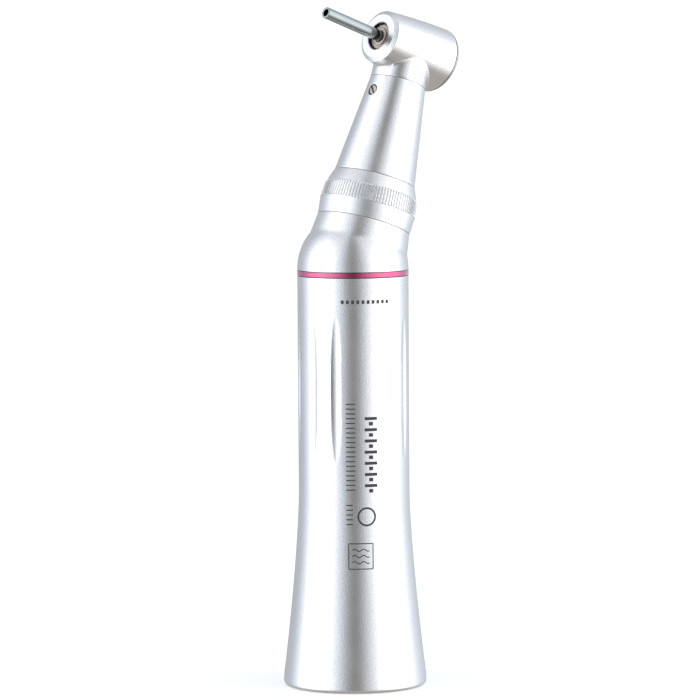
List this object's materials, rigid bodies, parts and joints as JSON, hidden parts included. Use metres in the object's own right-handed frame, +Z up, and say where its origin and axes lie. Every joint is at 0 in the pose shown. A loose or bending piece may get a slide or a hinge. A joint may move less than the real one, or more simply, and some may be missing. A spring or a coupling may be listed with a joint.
{
  "type": "dental contra-angle handpiece",
  "caption": "Satin metal contra-angle dental handpiece with a flared grip, pink ring, knurled collar, bent neck, push-button head and a blank tool pin.",
  "frame": {"origin": "centre of the rear rim, on the plane the handpiece stands on", "axes": "+Z up along the handle towards the bend, the neck leans towards +X, the tool points to -X and up"},
  "size_m": [0.0274, 0.02, 0.0946],
  "materials": {
    "satin_shell": "satin, finely blasted",
    "satin_collar": "satin, knurled",
    "pink_ring": "anodised",
    "polished_rim": "polished",
    "turned_steel": "turned",
    "bearing_steel": "ground",
    "gear_bronze": "machined",
    "brass_screw": "machined",
    "spring_steel": "drawn wire",
    "black_rubber": "moulded",
    "pin_steel": "ground"
  },
  "bodies": {
    "handle": {"handle_sheath": "satin_shell", "colour_ring": "pink_ring", "elbow_shell": "satin_shell", "rear_insert": "turned_steel", "motor_sleeve": "turned_steel", "latch_ring": "spring_steel", "rear_seal": "black_rubber", "bearing_carrier": "turned_steel", "shaft_outer_races": "bearing_steel", "shaft_balls": "bearing_steel", "race_spacer": "turned_steel", "circlip": "spring_steel"},
    "shaft": {"main_shaft": "turned_steel", "shaft_inner_races": "bearing_steel", "ring_gear": "gear_bronze", "dog_spring": "spring_steel"},
    "dog": {"drive_dog": "turned_steel"},
    "neck": {"neck_sleeve": "turned_steel", "neck_shell": "satin_shell", "sleeve_seal": "black_rubber", "neck_outer_races": "bearing_steel", "neck_balls": "bearing_steel", "head_shell": "satin_shell", "head_screw": "brass_screw", "head_cap": "polished_rim", "head_outer_races": "bearing_steel", "head_balls": "bearing_steel", "preload_washer": "spring_steel", "button_spring": "spring_steel"},
    "collar": {"locking_collar": "satin_collar"},
    "neck_drive": {"neck_shaft": "turned_steel", "neck_inner_races": "bearing_steel", "neck_pinion": "gear_bronze", "crown_gear": "gear_bronze"},
    "chuck": {"spindle": "turned_steel", "spindle_pinion": "gear_bronze", "head_inner_races": "bearing_steel", "chuck_nose": "brass_screw", "chuck_spring": "spring_steel"},
    "collet": {"chuck_collet": "turned_steel"},
    "button": {"push_button": "satin_shell", "button_seal": "black_rubber"},
    "tool": {"test_pin": "pin_steel"}
  },
  "joints": [
    {"name": "shaft_spin", "type": "hinge", "parent": "handle", "child": "shaft", "pos_m": [0, 0, 0.045], "axis": [0, 0, 1], "continuous": true},
    {"name": "dog_slide", "type": "slide", "parent": "shaft", "child": "dog", "axis": [0, 0, 1], "range_m": [0, 0.0012], "stiffness_N_per_m": 400, "springref_m": -0.0005, "deforming": ["dog_spring"]},
    {"name": "neck_release", "type": "slide", "parent": "handle", "child": "neck", "axis": [0.3173, 0, 0.9483], "range_m": [0, 0.012]},
    {"name": "collar_turn", "type": "hinge", "parent": "neck", "child": "collar", "pos_m": [0.00286, 0, 0.06691], "axis": [0.3173, 0, 0.9483], "range_deg": [0, 90]},
    {"name": "neck_drive_spin", "type": "hinge", "parent": "neck", "child": "neck_drive", "pos_m": [0.00381, 0, 0.06975], "axis": [0.3173, 0, 0.9483], "continuous": true},
    {"name": "chuck_spin", "type": "hinge", "parent": "neck", "child": "chuck", "pos_m": [0.01021, 0, 0.08887], "axis": [-0.9483, 0, 0.3173], "continuous": true},
    {"name": "button_press", "type": "slide", "parent": "neck", "child": "button", "axis": [-0.9483, 0, 0.3173], "range_m": [0, 0.0006], "stiffness_N_per_m": 500, "springref_m": -0.0003},
    {"name": "collet_release", "type": "slide", "parent": "chuck", "child": "collet", "axis": [-0.9483, 0, 0.3173], "range_m": [0, 0.0006]},
    {"name": "tool_pull", "type": "slide", "parent": "chuck", "child": "tool", "axis": [-0.9483, 0, 0.3173], "range_m": [0, 0.012]}
  ],
  "couplings": [
    {"joint": "neck_drive_spin", "follows": "shaft_spin", "ratio": 3.3333},
    {"joint": "chuck_spin", "follows": "shaft_spin", "ratio": -5},
    {"joint": "collet_release", "follows": "button_press", "ratio": 1}
  ]
}
